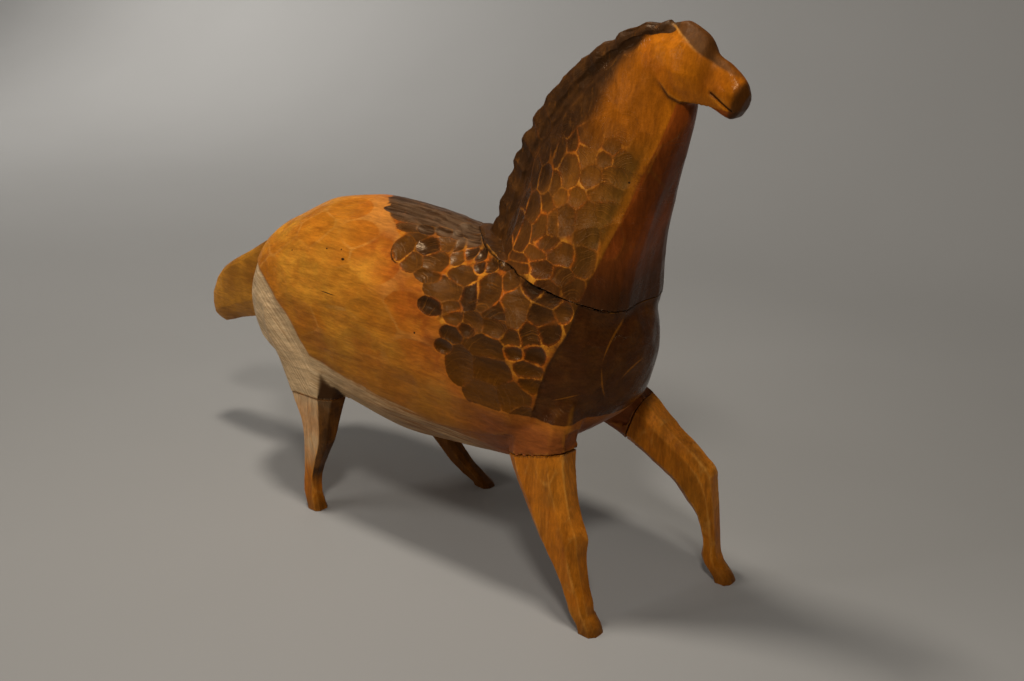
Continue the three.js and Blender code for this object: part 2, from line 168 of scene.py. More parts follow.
# Pores and one short drying crack: place, half length along the horse and half width
RUMP_PORES = [
    ((-102, -53, 223), 0.9, 0.8), ((-61, -52, 232), 1.2, 0.7), ((-45, -51, 234), 0.9, 0.7),
    ((-40, -55, 228), 2.4, 1.2), ((-50, -63.5, 200.5), 11, 0.5), ((44, -63, 190), 1.2, 1.0),
]
NECK_PORES = [((201, -22, 319), 1.2, 0.9)]
# Faint pale lines in the dark chest: place, turn in the side view, half length and half width
CHEST_LINES = [
    ((197, -28, 214), -77, 26, 0.7), ((192, -35, 178), -88, 16, 0.6), ((172, -46, 168), -20, 12, 0.5),
    ((205, -15, 190), -60, 15, 0.5),
]
# Pale edges between the flat cuts of rump and flank, in the same way
FLANK_LINES = [((-40, -65, 191), -6, 17, 2.2), ((-14, -65, 187), 24, 13, 2.0)]


def smooth_step(value, low, high):
    share = np.clip((value - low) / (high - low), 0, 1)
    return share * share * (3 - 2 * share)


def line_distance(points, line):
    """Distance of every point from a line of straight stretches."""
    nearest = np.full(len(points), 1e9)
    line = np.asarray(line, float)
    for start, end in zip(line[:-1], line[1:]):
        along = end - start
        share = np.clip(((points - start) @ along) / (along @ along), 0, 1)
        gap = np.linalg.norm(points - start - share[:, None] * along, axis=1)
        nearest = np.minimum(nearest, gap)
    return nearest


def line_side(points, line):
    """Signed distance of side-view points from a line, above zero on the left of its direction."""
    nearest = np.full(len(points), 1e9)
    signed = np.zeros(len(points))
    line = np.asarray(line, float)
    for start, end in zip(line[:-1], line[1:]):
        along = end - start
        apart = points - start
        share = np.clip((apart @ along) / (along @ along), 0, 1)
        gap = np.linalg.norm(apart - share[:, None] * along, axis=1)
        turn = along[0] * apart[:, 1] - along[1] * apart[:, 0]
        signed = np.where(gap < nearest, np.copysign(gap, turn), signed)
        nearest = np.minimum(nearest, gap)
    return signed


def in_front(points, line):
    """How far a side-view point (x, z) lies in front of a rising line, in x."""
    line = np.asarray(sorted(line, key=lambda corner: corner[1]), float)
    return points[:, 0] - np.interp(points[:, 1], line[:, 1], line[:, 0])


def seam_height(points, seam):
    """Signed distance from the seam plane, positive towards the free end."""
    towards = np.asarray(seam[1], float)
    return (points - np.asarray(seam[0], float)) @ (towards / np.linalg.norm(towards))


def places(piece):
    spots = np.empty(3 * len(piece.data.vertices))
    piece.data.vertices.foreach_get("co", spots)
    return spots.reshape(-1, 3) / MM


def outward(piece):
    facing = np.empty(3 * len(piece.data.vertices))
    piece.data.vertices.foreach_get("normal", facing)
    return facing.reshape(-1, 3)


def move_to(piece, points):
    piece.data.vertices.foreach_set("co", (points * MM).ravel())
    piece.data.update()


def paint(piece, name, values):
    layer = piece.data.attributes.new(name, "FLOAT", "POINT")
    layer.data.foreach_set("value", np.asarray(values, np.float32))


def only(piece):
    bpy.ops.object.select_all(action="DESELECT")
    piece.select_set(True)
    bpy.context.view_layer.objects.active = piece


def blank(name, nodes, drop):
    """A closed working copy of some of the frame's nodes, joined in one mesh. The pieces after the
    first are pressed against it by drop, so that no gap is left at the glue seam."""
    copies = []
    for order, node in enumerate(nodes):
        copy = bpy.data.objects.new(name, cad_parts[node].data.copy())
        bpy.context.scene.collection.objects.link(copy)
        only(copy)
        bpy.ops.object.mode_set(mode="EDIT")
        bpy.ops.mesh.select_all(action="SELECT")
        bpy.ops.mesh.remove_doubles(threshold=0.01 * MM)
        if order > 0:
            bpy.ops.transform.translate(value=(0, 0, -drop * MM))
        bpy.ops.object.mode_set(mode="OBJECT")
        copies.append(copy)
    bpy.ops.object.select_all(action="DESELECT")
    for copy in copies:
        copy.select_set(True)
    bpy.context.view_layer.objects.active = copies[0]
    if len(copies) > 1:
        bpy.ops.object.join()
    return bpy.context.view_layer.objects.active


def saw(piece, seam, keep_beyond):
    """Cuts the piece through at a seam plane and closes the cut."""
    only(piece)
    bpy.ops.object.mode_set(mode="EDIT")
    bpy.ops.mesh.select_all(action="SELECT")
    bpy.ops.mesh.bisect(
        plane_co=[MM * value for value in seam[0]],
        plane_no=seam[1],
        use_fill=True,
        clear_inner=keep_beyond,
        clear_outer=not keep_beyond,
    )
    bpy.ops.object.mode_set(mode="OBJECT")


def even_out(piece, voxel):
    only(piece)
    bpy.ops.object.modifier_add(type="REMESH")
    remesh = piece.modifiers[-1]
    remesh.mode = "VOXEL"
    remesh.voxel_size = voxel * MM
    remesh.adaptivity = 0
    bpy.ops.object.modifier_apply(modifier=remesh.name)


def refine(piece, where):
    """Splits the faces between the given vertices in four, for finer cuts."""
    only(piece)
    bpy.ops.object.mode_set(mode="EDIT")
    bpy.ops.mesh.select_mode(type="VERT")
    bpy.ops.mesh.select_all(action="DESELECT")
    bpy.ops.object.mode_set(mode="OBJECT")
    piece.data.vertices.foreach_set("select", where)
    bpy.ops.object.mode_set(mode="EDIT")
    bpy.ops.mesh.subdivide(number_cuts=1)
    bpy.ops.object.mode_set(mode="OBJECT")


def share_group(piece, share):
    """A vertex group that holds a share from 0 to 1 for every vertex."""
    group = piece.vertex_groups.new(name="share")
    steps = np.round(share * 10).astype(int)
    for step in range(1, 11):
        group.add(np.flatnonzero(steps == step).tolist(), step / 10, "REPLACE")
    return group.name


def rub_down(piece, rounds, share):
    """Smooths the piece, at each vertex by its share."""
    only(piece)
    bpy.ops.object.modifier_add(type="SMOOTH")
    smooth = piece.modifiers[-1]
    smooth.factor = 0.5
    smooth.iterations = rounds
    smooth.vertex_group = share_group(piece, share)
    bpy.ops.object.modifier_apply(modifier=smooth.name)
    piece.vertex_groups.clear()


def square_up(piece, node, share):
    """Brings the sharp edges of a node back, at each vertex by its share."""
    only(piece)
    bpy.ops.object.modifier_add(type="SHRINKWRAP")
    wrap = piece.modifiers[-1]
    wrap.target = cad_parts[node]
    wrap.vertex_group = share_group(piece, share)
    bpy.ops.object.modifier_apply(modifier=wrap.name)
    piece.vertex_groups.clear()


def thin_out(piece, share):
    """Takes vertices out of the even parts of a finished piece, but none where the share is 0."""
    piece.data.calc_loop_triangles()
    only(piece)
    bpy.ops.object.modifier_add(type="DECIMATE")
    thin = piece.modifiers[-1]
    thin.ratio = min(1, MOST_TRIANGLES / len(piece.data.loop_triangles))
    thin.vertex_group = share_group(piece, share)
    bpy.ops.object.modifier_apply(modifier=thin.name)
    piece.vertex_groups.clear()


def true_up(piece, seam, zone, inward, press=0.0):
    """Flattens the end of a piece at a glue seam, so that its edge is straight, and presses it home.
    Inward is -1 for a piece that lies before the seam and 1 for one beyond it."""
    points = places(piece)
    towards = np.asarray(seam[1], float) / np.linalg.norm(seam[1])
    height = seam_height(points, seam)
    near = zone & (np.abs(height) < 2)
    end_face = near & (outward(piece) @ towards * inward < -0.9)
    level = np.median(height[end_face])
    rim = near & (inward * (height - level) < 1.1)
    points[rim] += ((level - inward * press - height[rim])[:, None]) * towards
    move_to(piece, points)


def settle_foot(piece):
    """Gives the foot of the neck a clear edge on the back, where the seam runs along the surface."""
    points = places(piece)
    x, y, z = points.T
    foot = np.asarray(NECK_FOOT, float)
    inside = x - np.interp(np.abs(y), foot[:, 1], foot[:, 0])
    height = seam_height(points, NECK_SEAM)
    raised = np.maximum(height, 0.8 * np.clip(inside, 0, 3))
    lowered = np.minimum(height, -0.5 - 0.25 * np.clip(-inside, 0, 2))
    wanted = np.where(inside > 0, raised, lowered)
    near = (np.abs(height) < 5) & (z > 238)
    points[:, 2] += (wanted - height) * near * (1 - smooth_step(x, 95, 117))
    move_to(piece, points)


def swell(piece, swells):
    points = places(piece)
    pushed = points.copy()
    for place, reach, push in swells:
        share = np.exp(-((points - place) ** 2).sum(1) / reach ** 2)
        pushed += share[:, None] * np.asarray(push)
    move_to(piece, pushed)


def edge_pairs(piece):
    pairs = np.empty(2 * len(piece.data.edges), np.int64)
    piece.data.edges.foreach_get("vertices", pairs)
    return pairs.reshape(-1, 2)


def sharpness(piece, rounds):
    """How far each vertex stands out of the rubbed-down surface: above zero on edges, below in creases."""
    points = places(piece)
    pairs = edge_pairs(piece)
    ends = np.concatenate([pairs[:, 0], pairs[:, 1]])
    others = np.concatenate([pairs[:, 1], pairs[:, 0]])
    count = np.bincount(ends, minlength=len(points))[:, None]
    rubbed = points.copy()
    for _ in range(rounds):
        pulled = [np.bincount(ends, rubbed[others, axis], len(points)) for axis in range(3)]
        rubbed = np.stack(pulled, 1) / count
    return ((points - rubbed) * outward(piece)).sum(1)


class CutPlan:
    """The gouge cuts of one piece: each a shallow dish with a half length along the grain, a half
    width across it, a depth and a tone."""

    def __init__(self, points, facing, seed):
        self.points = points
        self.facing = facing
        self.chance = np.random.default_rng(seed)
        self.spots = []
        self.sizes = []

    def axes(self, spot):
        """Direction out of the surface, along the horse and across it, at a vertex."""
        out = self.facing[spot]
        along = np.array([1.0, 0, 0]) - out[0] * out
        if np.linalg.norm(along) < 0.35:
            along = np.array([0, 1.0, 0]) - out[1] * out
        along /= np.linalg.norm(along)
        return out, along, np.cross(out, along)

    def add(self, place, length, width, depth, stained):
        nearest = np.argmin(((self.points - place) ** 2).sum(1))
        self.cut(nearest, length, width, depth, stained)

    def cut(self, spot, length, width, depth, stained):
        self.spots.append(spot)
        self.sizes.append((length, width, depth, stained, self.chance.random()))

    def mirrored(self, cuts, depth):
        """The given cuts of the right side, and looser ones like them on the left side."""
        for x, y, z, length, width in cuts:
            self.add((x, y, z), length, width, depth * self.chance.uniform(0.75, 1.25), 1)
            place = np.array([x, -y, z]) + self.chance.normal(0, 2.2, 3)
            size = self.chance.uniform(0.9, 1.15, 2)
            self.add(place, length * size[0], width * size[1], depth * self.chance.uniform(0.6, 1.0), 1)

    def fill(self, where, length, width, depth, stained):
        """Fills a zone of the piece with cuts that keep clear of those already there."""
        free = np.flatnonzero(where)
        self.chance.shuffle(free)
        free = free[:6000]
        taken = np.zeros(len(free), bool)
        for spot, size in zip(self.spots, self.sizes):
            taken |= self.covered(free, spot, size[0] + length, size[1] + width)
        for order, spot in enumerate(free):
            if taken[order]:
                continue
            size = np.array([length, width]) * self.chance.uniform(0.8, 1.2, 2)
            self.cut(spot, *size, depth * self.chance.uniform(0.6, 1.2), stained)
            taken |= self.covered(free, spot, size[0] + length, size[1] + width)

    def covered(self, free, spot, length, width):
        out, along, across = self.axes(spot)
        apart = self.points[free] - self.points[spot]
        reach = (apart @ along / (0.8 * length)) ** 2 + (apart @ across / (0.8 * width)) ** 2
        return (reach < 1) & (np.abs(apart @ out) < 14)

    def carve(self, overlap):
        """At each vertex the depth of the cut surface, the distance from the rim of the cut, its
        tone, a run of tool marks and the distance inside the stained cuts."""
        count = len(self.points)
        best, second, stained_best = np.full((3, count), -9.0)
        best_slope, second_slope, stained_slope = np.ones((3, count))
        tone, run = np.zeros((2, count))
        for spot, (length, width, depth, stained, cut_tone) in zip(self.spots, self.sizes):
            out, along, across = self.axes(spot)
            apart = self.points - self.points[spot]
            near = (apart ** 2).sum(1) < (1.8 * max(length, width)) ** 2
            near = np.flatnonzero(near & (np.abs(apart @ out) < 14) & (self.facing @ out > 0.2))
            apart = apart[near]
            forth = apart @ along
            aside = apart @ across
            reach = np.hypot(forth / length, aside / width)
            dish = depth * (1 - reach ** 2 / overlap)
            slope = 2 * depth * reach / (overlap * np.sqrt(length * width)) + 1e-3
            wins = dish > best[near]
            won = near[wins]
            lost = near[~wins]
            second[won] = best[won]
            second_slope[won] = best_slope[won]
            best[won] = dish[wins]
            best_slope[won] = slope[wins]
            tone[won] = cut_tone
            run[won] = np.hypot(forth + (2 * cut_tone - 1) * 2 * length, aside + 1.5 * width)[wins]
            closer = dish[~wins] > second[lost]
            second[lost[closer]] = dish[~wins][closer]
            second_slope[lost[closer]] = slope[~wins][closer]
            if stained:
                deeper = dish > stained_best[near]
                stained_best[near[deeper]] = dish[deeper]
                stained_slope[near[deeper]] = slope[deeper]
        gap = best - np.maximum(second, 0)
        slope = best_slope + np.where(second > 0, second_slope, 0)
        rim = np.where(best > 0, gap / slope, 0)
        cover = np.clip(stained_best / stained_slope, -4, 4)
        return np.maximum(best, 0), rim, tone, run, cover


def sink(piece, points, depth):
    move_to(piece, points - depth[:, None] * outward(piece))


def finish_cuts(piece, plan, overlap, limit=4):
    """Moves the vertices down into the cuts and paints the layers that the finish reads."""
    depth, rim, tone, run, cover = plan.carve(overlap)
    cover = np.minimum(cover, limit)
    sink(piece, plan.points, depth)
    paint(piece, "rim", rim)
    paint(piece, "tone", tone)
    paint(piece, "run", run)
    paint(piece, "cover", cover)


def leg_zone(points, node, low_spare, high_spare):
    low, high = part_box(node)
    above = points > np.array(low) / MM - low_spare
    below = points < np.array(high) / MM + high_spare
    return np.all(above & below, axis=1)


def leg_seam_share(points, clear, reach):
    """0 close to the leg seams of the body, 1 away from them."""
    share = np.ones(len(points))
    for node, seam in LEG_SEAMS.items():
        gap = np.abs(seam_height(points, seam))
        near = np.minimum(share, smooth_step(gap, clear, reach))
        share = np.where(leg_zone(points, node, 6, 16), near, share)
    return share


def seam_mark(points, facing, seam):
    """1 on a glue seam, 0 a little away from it along the surface."""
    towards = np.asarray(seam[1], float)
    steep = np.sqrt(1 - np.clip(facing @ (towards / np.linalg.norm(towards)), -1, 1) ** 2)
    gap = np.abs(seam_height(points, seam)) / np.maximum(steep, 0.2)
    return (1 - smooth_step(gap, 0.1, 1.1)) * smooth_step(steep, 0.4, 0.7)


def saddle_depth(points):
    """How far a point lies in front of the rear edge of the dark saddle."""
    x, _, z = points.T
    return np.where(z < 144, -20, x - np.interp(z, SADDLE_Z, SADDLE_X))


def carve_body():
    body = blank("body_carving", ["body", "neck_and_head"], NECK_PRESS)
    even_out(body, BODY_VOXEL)
    points = places(body)
    share = leg_seam_share(points, 1.0, 10.0) * (points[:, 2] < 300)
    rub_down(body, BODY_RUBS, share * (1 - 0.8 * smooth_step(-points[:, 0], 162, 172)))
    settle_foot(body)
    saw(body, BODY_TOP, False)
    points = places(body)
    chest = in_front(points[:, [0, 2]], CHEST_RIDGE)
    tail_end = smooth_step(-points[:, 0], 166, 174)
    stubs = leg_seam_share(points, 3.0, 6.0) < 0.9
    refine(body, ((saddle_depth(points) > -12) & (chest < 8)) | stubs | (tail_end > 0))
    points = places(body)
    tail_end = smooth_step(-points[:, 0], 166, 174)
    square_up(body, "body", np.maximum(tail_end, 1 - leg_seam_share(points, 2.0, 5.0)))
    points = places(body)
    for node, seam in LEG_SEAMS.items():
        true_up(body, seam, leg_zone(points, node, 6, 6), -1)
    points = places(body)
    x, y, z = points.T
    inside = saddle_depth(points)
    chest = in_front(points[:, [0, 2]], CHEST_RIDGE)
    pale_depth = np.interp(x, PALE_X, PALE_Z) - z
    tail = smooth_step(-x, 168, 178) * (np.abs(y) < 16)
    chest_step = smooth_step(chest, -0.6, 1.6) * (1 - smooth_step(chest, 8, 34))
    haunch_step = smooth_step(pale_depth, -0.8, 1.6) * (1 - smooth_step(pale_depth, 8, 30))
    chest_step = chest_step * smooth_step(z, 138, 152)
    haunch_step = haunch_step * smooth_step(-x, 45, 75) * (1 - tail)
    sink(body, points, 1.5 * chest_step + 1.2 * haunch_step)
    points = places(body)
    facing = outward(body)
    outer = -seam_height(points, NECK_SEAM) > 0.3
    plan = CutPlan(points, facing, 7)
    plan.mirrored(SHOULDER_CUTS, SHOULDER_DEPTH)
    back = (inside > 5) & (z > 246) & (np.abs(y) < 40)
    plan.fill(outer & back, 11, 3.6, 0.5, 1)
    plan.fill(outer & (inside > 8) & (chest < -4) & ~back, 10, 8, 1.9, 1)
    plan.fill(outer & (inside > 0) & (chest > 7), 18, 17, 0.6, 1)
    plan.fill(outer & (inside < -14) & (pale_depth < -6), 22, 14, 1.3, 0)
    finish_cuts(body, plan, 1.65, 0.8 * (z - 149))
    crown = (1 - smooth_step(np.abs(y), 19, 29)) * smooth_step(z, 232, 244)
    smooth_zone = smooth_step(inside + 1.2 * np.sin(z * 0.9), -5, 3) * (z > 244)
    deep_zone = smooth_step(inside, 7, 12) * smooth_step(z, 146, 156)
    front = smooth_step(chest, -0.8, 0.8) * smooth_step(inside, 2, 8)
    seams = seam_mark(points, facing, NECK_SEAM)
    # Painted shade, partly stain: the forward-facing body around the hind-leg stubs, under the belly, is
    # darkened where the body shades it
    stub_stain_and_shade = np.zeros(len(points))
    for node, seam in LEG_SEAMS.items():
        strength = LEFT_STUB_SEAM if node == "left_foreleg" else 1
        leg_seam = strength * seam_mark(points, facing, seam)
        seams = np.maximum(seams, leg_seam * leg_zone(points, node, 6, 6))
        if "hind" in node:
            shaded = smooth_step(facing[:, 0], 0.2, 0.5) * leg_zone(points, node, 3, 30)
            stub_stain_and_shade = np.maximum(stub_stain_and_shade, shaded * (z < 128))
    sink(body, places(body), SEAM_DEPTH * seams)
    paint(body, "dark", np.maximum(smooth_zone, deep_zone))
    paint(body, "wear", (1 - 0.9 * crown) * (1 - front) * (0.6 + 0.4 * smooth_step(z, 165, 205)))
    paint(body, "warm", smooth_step(x - np.interp(z, SADDLE_Z[2:], SADDLE_X[2:]), -75, -6))
    paint(body, "low", 1 - smooth_step(z, 105, 195))
    paint(body, "ember", 1 - smooth_step(z, 165, 212))
    paint(body, "pale", smooth_step(pale_depth, -3, 6) * (1 - tail))
    paint(body, "pale_run", pale_depth)
    paint(body, "belly", smooth_step(x, -90, 40))
    paint(body, "stub", smooth_step(x, 70, 120) * (1 - smooth_step(z, 138, 156)))
    paint(body, "front", front)
    paint(body, "crown", crown)
    paint(body, "olive", tail)
    paint(body, "stub_stain_and_shade", stub_stain_and_shade)
    paint(body, "gap", seams)
    paint(body, "edge", sharpness(body, 5))
    thin_out(body, leg_seam_share(points, 1.5, 5) * smooth_step(-seam_height(points, NECK_SEAM), 1.5, 5))
    return body


def carve_neck():
    neck = blank("neck_carving", ["neck_and_head", "body"], -NECK_PRESS)
    saw(neck, NECK_BLANK, True)
    even_out(neck, NECK_VOXEL)
    points = places(neck)
    side = points[:, [0, 2]]
    crest = line_distance(side, MANE_CREST)
    ridge = np.abs(in_front(side, NECK_RIDGE))
    share = smooth_step(crest, 8, 18) * smooth_step(ridge, 2, 12)
    share = np.where((points[:, 2] > 368) & (points[:, 0] > 205), 0.6, share)
    poll = smooth_step(points[:, 0], 200, 206) * smooth_step(points[:, 2], 404, 410)
    rub_down(neck, NECK_RUBS, np.maximum(np.maximum(share, 0.2), poll))
    points = places(neck)
    fold = np.exp(-(((points[:, 0] - 247) / 9) ** 2)) * smooth_step(points[:, 2], 366, 374)
    rub_down(neck, FACE_RUBS, fold)
    settle_foot(neck)
    swell(neck, FACE_SWELLS)
    saw(neck, NECK_SEAM, True)
    points = places(neck)
    x, y, z = points.T
    side = points[:, [0, 2]]
    crest = line_distance(side, MANE_CREST)
    front = in_front(side, NECK_RIDGE)
    jaw = line_side(side, JAW_LINE)
    head = smooth_step(jaw, -2.0, 0.0) * (z > 362) * smooth_step(x, 206, 214)
    poll = smooth_step(x, 190, 206) * smooth_step(z, 385, 396)
    strip = np.interp(z, MANE_STRIP_Z, MANE_STRIP)
    groove = np.exp(-(((crest - strip - 1.5) / 2.4) ** 2)) * smooth_step(z, 285, 335)
    groove = groove * (1 - smooth_step(x, 185, 205))
    under_jaw = smooth_step(x, 206, 214) * smooth_step(z, 350, 358) * (1 - smooth_step(z, 377, 387))
    jaw_step = smooth_step(-jaw, -0.6, 1.0) * np.exp(-np.maximum(-jaw, 0) / 6) * under_jaw
    mouth = (1 - smooth_step(line_distance(side, MOUTH_LINE), 0.3, 1.6)) * (np.abs(y) > 2)
    sink(neck, points, 1.5 * groove + 2.2 * jaw_step + 1.3 * mouth)
    points = places(neck)
    facing = outward(neck)
    outer = seam_height(points, NECK_SEAM) > 0.3
    plan = CutPlan(points, facing, 11)
    run = 30
    for start, end in zip(MANE_CREST[:-1], MANE_CREST[1:]):
        stretch = math.dist(start, end)
        while run < stretch:
            spot = np.array(start) + (np.array(end) - start) * run / stretch + (5.5, -4.5)
            for hand in (-9, 9):
                plan.add((spot[0], hand, spot[1]), 7, 9, plan.chance.uniform(1.4, 2.6), 1)
            run += plan.chance.uniform(13, 22)
        run -= stretch
    plan.mirrored([cut for cut in NECK_CUTS if cut[2] < SHALLOW_FROM], LOW_NECK_DEPTH)
    plan.mirrored([cut for cut in NECK_CUTS if cut[2] >= SHALLOW_FROM], HIGH_NECK_DEPTH)
    mane_side = outer & (crest > 18) & (crest < 40) & (front < -10) & (z < 350)
    plan.fill(mane_side, 5.5, 12, 0.8, 1)
    plan.fill(outer & (front < -5) & (crest > 30) & (z < 350), 9, 9, 0.9, 1)
    plan.fill(outer & (front > 6) & (z < 352), 13, 20, 0.5, 1)
    plan.fill(outer & (z > 350) & (front < -3), 14, 14, 0.5, 0)
    finish_cuts(neck, plan, 1.7)
    seam = seam_mark(points, facing, NECK_SEAM)
    sink(neck, places(neck), SEAM_DEPTH * seam)
    mane = (1 - smooth_step(crest - strip, -1, 2)) * (1 - smooth_step(x, 222, 230))
    shade = np.clip(1 - crest / np.interp(z, SHADE_Z, SHADE_REACH), 0, 1) * (1 - poll)
    brow = line_side(side, FACE_LINE)
    forehead = smooth_step(brow, -0.8, 0.8) * smooth_step(x, 205, 214)
    forehead = forehead * (1 - 0.4 * smooth_step(x, 246, 264))
    brow_line = (1 - smooth_step(np.abs(brow), 0.2, 0.9)) * smooth_step(x, 214, 219)
    brow_line = brow_line * (1 - smooth_step(x, 232, 243))
    tip = smooth_step(x - 0.35 * (z - 378), 259, 270)
    plain = smooth_step(front, -34, -8)
    wear = (1 - 0.95 * smooth_step(z, 332, 360)) * (1 - 0.6 * plain) * smooth_step(x, 96, 112)
    paint(neck, "shade", np.maximum(mane, shade))
    paint(neck, "wear", wear * (1 - 0.85 * smooth_step(np.maximum(mane, shade), 0.1, 0.6)))
    paint(neck, "front", smooth_step(front, -0.8, 0.8) * (1 - head) * (z < 376))
    paint(neck, "plain", plain)
    lip = smooth_step(front, -9, -2) * (1 - smooth_step(front, -0.5, 0.8))
    polish = np.exp(-(((side - (263, 384)) ** 2).sum(1)) / 60)
    paint(neck, "lip", lip * smooth_step(z, 240, 300))
    paint(neck, "matt", np.maximum(forehead, 0.6 * mane) - 0.6 * polish)
    paint(neck, "head", np.maximum(head, poll))
    paint(neck, "forehead", forehead)
    paint(neck, "brow", brow_line)
    paint(neck, "muzzle", tip)
    paint(neck, "low", 1 - smooth_step(z, 235, 300))
    paint(neck, "high", smooth_step(z, 315, 370))
    # Painted shade under the jaw's overhang and in the groove beside the mane
    painted_crease_shade = 0.7 * np.exp(-((jaw + 0.8) ** 2) / 1.5) * under_jaw
    # The gap layer holds the dark glue seam and painted shade in the mouth slit
    paint(neck, "gap", np.maximum(seam, mouth))
    paint(neck, "painted_crease_shade", np.maximum(painted_crease_shade, 0.6 * groove))
    paint(neck, "edge", sharpness(neck, 6) * (1 - 0.8 * mane) * (1 - tip) * (1 - forehead))
    thin_out(neck, smooth_step(seam_height(points, NECK_SEAM), 1.5, 5))
    return neck


def carve_leg(node, seed):
    leg = blank(node + "_carving", [node], 0)
    even_out(leg, LEG_VOXEL)
    points = places(leg)
    height = seam_height(points, LEG_SEAMS[node])
    rub_down(leg, LEG_RUBS, smooth_step(height, 0.6, 4) * smooth_step(points[:, 2], 0.6, 4))
    square_up(leg, node, 1 - smooth_step(height, 0.8, 3) * smooth_step(points[:, 2], 0.8, 3))
    whole = np.ones(len(points), bool)
    true_up(leg, LEG_SEAMS[node], whole, 1, LEFT_FORELEG_PRESS if node == "left_foreleg" else 0)
    swell(leg, LEG_SWELLS.get(node, []))
    points = places(leg)
    facing = outward(leg)
    plan = CutPlan(points, facing, seed)
    height = seam_height(points, LEG_SEAMS[node])
    if node == "right_foreleg":
        plan.add(*CANNON_CUT, CANNON_DEPTH, 1)
    plan.fill((height > 1.0) & (points[:, 2] > 2), 7, 20, 0.5, 1)
    finish_cuts(leg, plan, 1.9)
    strength = LEFT_FORELEG_SEAM if node == "left_foreleg" else 1
    seam = strength * seam_mark(points, facing, LEG_SEAMS[node])
    sink(leg, places(leg), SEAM_DEPTH * seam)
    ahead = smooth_step(facing[:, 0], 0.25, 0.6)
    aside = smooth_step(np.abs(facing[:, 1]), 0.6, 0.9)
    # The right hind leg's forward faces, in the body's shadow, are darkened: painted shade, partly stain. The
    # left hind leg is darkened all over.
    if node == "right_hind_leg":
        dark = 0.95 * ahead * smooth_step(points[:, 2], 18, 36)
    elif node == "left_hind_leg":
        dark = np.full(len(points), 0.8)
    else:
        dark = np.zeros(len(points))
    paint(leg, "dark", dark)
    # Painted light: the sideways-facing faces of the hind legs are painted paler, as lit faces
    paint(leg, "pale", aside * ("hind" in node) * smooth_step(points[:, 2], 30, 70))
    paint(leg, "gap", seam)
    paint(leg, "hoof", 1 - smooth_step(points[:, 2], 2, 20))
    # Tawny stain of the upper leg, partly painted light: forward-facing faces get more of it, as faces lit by
    # the front lamp
    paint(leg, "upper", smooth_step(points[:, 2], 25, 85) * (0.2 + 0.8 * ahead))
    paint(leg, "edge", sharpness(leg, 8) * smooth_step(height, 1.5, 5) * (1 - 0.8 * dark))
    return leg


class Finish:
    """A waxed wood finish built up node by node."""

    def __init__(self, name):
        self.material = bpy.data.materials.new(name)
        self.material.use_nodes = True
        self.tree = self.material.node_tree
        self.wax = self.tree.nodes["Principled BSDF"]
        self.place = self.tree.nodes.new("ShaderNodeTexCoord").outputs["Object"]

    def node(self, kind, inputs, output, **settings):
        node = self.tree.nodes.new(kind)
        for name, value in settings.items():
            setattr(node, name, value)
        for name, value in inputs.items():
            if isinstance(value, bpy.types.NodeSocket):
                self.tree.links.new(value, node.inputs[name])
            else:
                node.inputs[name].default_value = value
        return node.outputs[output]

    def layer(self, name):
        return self.node("ShaderNodeAttribute", {}, "Fac", attribute_name=name)

    def stretched(self, scale, turn=(0, 0, 0)):
        inputs = {"Vector": self.place, "Scale": scale, "Rotation": turn}
        return self.node("ShaderNodeMapping", inputs, "Vector")

    def noise(self, scale, detail=3.0, roughness=0.55, place=None, distortion=0.0):
        inputs = {
            "Vector": place or self.place,
            "Scale": scale,
            "Detail": detail,
            "Roughness": roughness,
            "Distortion": distortion,
        }
        return self.node("ShaderNodeTexNoise", inputs, "Fac")

    def math(self, operation, first, second=0.0):
        return self.node("ShaderNodeMath", {0: first, 1: second}, 0, operation=operation)

    def step(self, value, low, high, to_low=0.0, to_high=1.0):
        inputs = {"Value": value, "From Min": low, "From Max": high, "To Min": to_low, "To Max": to_high}
        return self.node("ShaderNodeMapRange", inputs, "Result", interpolation_type="SMOOTHSTEP")

    def mix(self, share, under, over, blend="MIX"):
        inputs = {0: share, 6: under, 7: over}
        return self.node("ShaderNodeMix", inputs, 2, data_type="RGBA", blend_type=blend)

    def bump(self, height, strength, distance):
        inputs = {"Height": height, "Strength": strength, "Distance": distance}
        return self.node("ShaderNodeBump", inputs, "Normal")

    def join(self, *parts):
        return self.node("ShaderNodeCombineXYZ", dict(enumerate(parts)), 0)

    def split(self, axis):
        return self.node("ShaderNodeSeparateXYZ", {"Vector": self.place}, axis)

    def speck(self, place, half_length, half_width):
        """1 inside a small oval spot that lies along the horse, 0 outside."""
        return self.streak(place, 0, half_length, half_width)

    def streak(self, place, turn, half_length, half_width):
        """1 inside a thin oval streak on a side of the horse, turned in the side view, 0 outside."""
        inputs = {
            "Vector": self.place,
            "Location": [MM * value for value in place],
            "Rotation": (0, math.radians(turn), 0),
            "Scale": (half_length * MM, 12 * MM, half_width * MM),
        }
        apart = self.node("ShaderNodeMapping", inputs, "Vector", vector_type="TEXTURE")
        reach = self.node("ShaderNodeVectorMath", {0: apart}, 1, operation="LENGTH")
        return self.step(reach, 0.5, 1.0, 1.0, 0.0)

    def chips(self, scale, turn=(0, 0, 0)):
        """Small flat knife cuts: low in the middle of each and high where two of them meet."""
        bend = self.node("ShaderNodeTexNoise", {"Vector": self.place, "Scale": 60.0}, "Color")
        inputs = {0: bend, 1: (0.012, 0.012, 0.012)}
        bend = self.node("ShaderNodeVectorMath", inputs, 0, operation="MULTIPLY")
        spot = self.node("ShaderNodeVectorMath", {0: self.place, 1: bend}, 0, operation="ADD")
        spot = self.node("ShaderNodeMapping", {"Vector": spot, "Scale": scale, "Rotation": turn}, "Vector")
        return self.node("ShaderNodeTexVoronoi", {"Vector": spot, "Scale": 1.0}, "Distance")

    def set(self, name, value):
        if isinstance(value, bpy.types.NodeSocket):
            self.tree.links.new(value, self.wax.inputs[name])
        else:
            self.wax.inputs[name].default_value = value


def stain(red, green, blue):
    return (red, green, blue, 1.0)


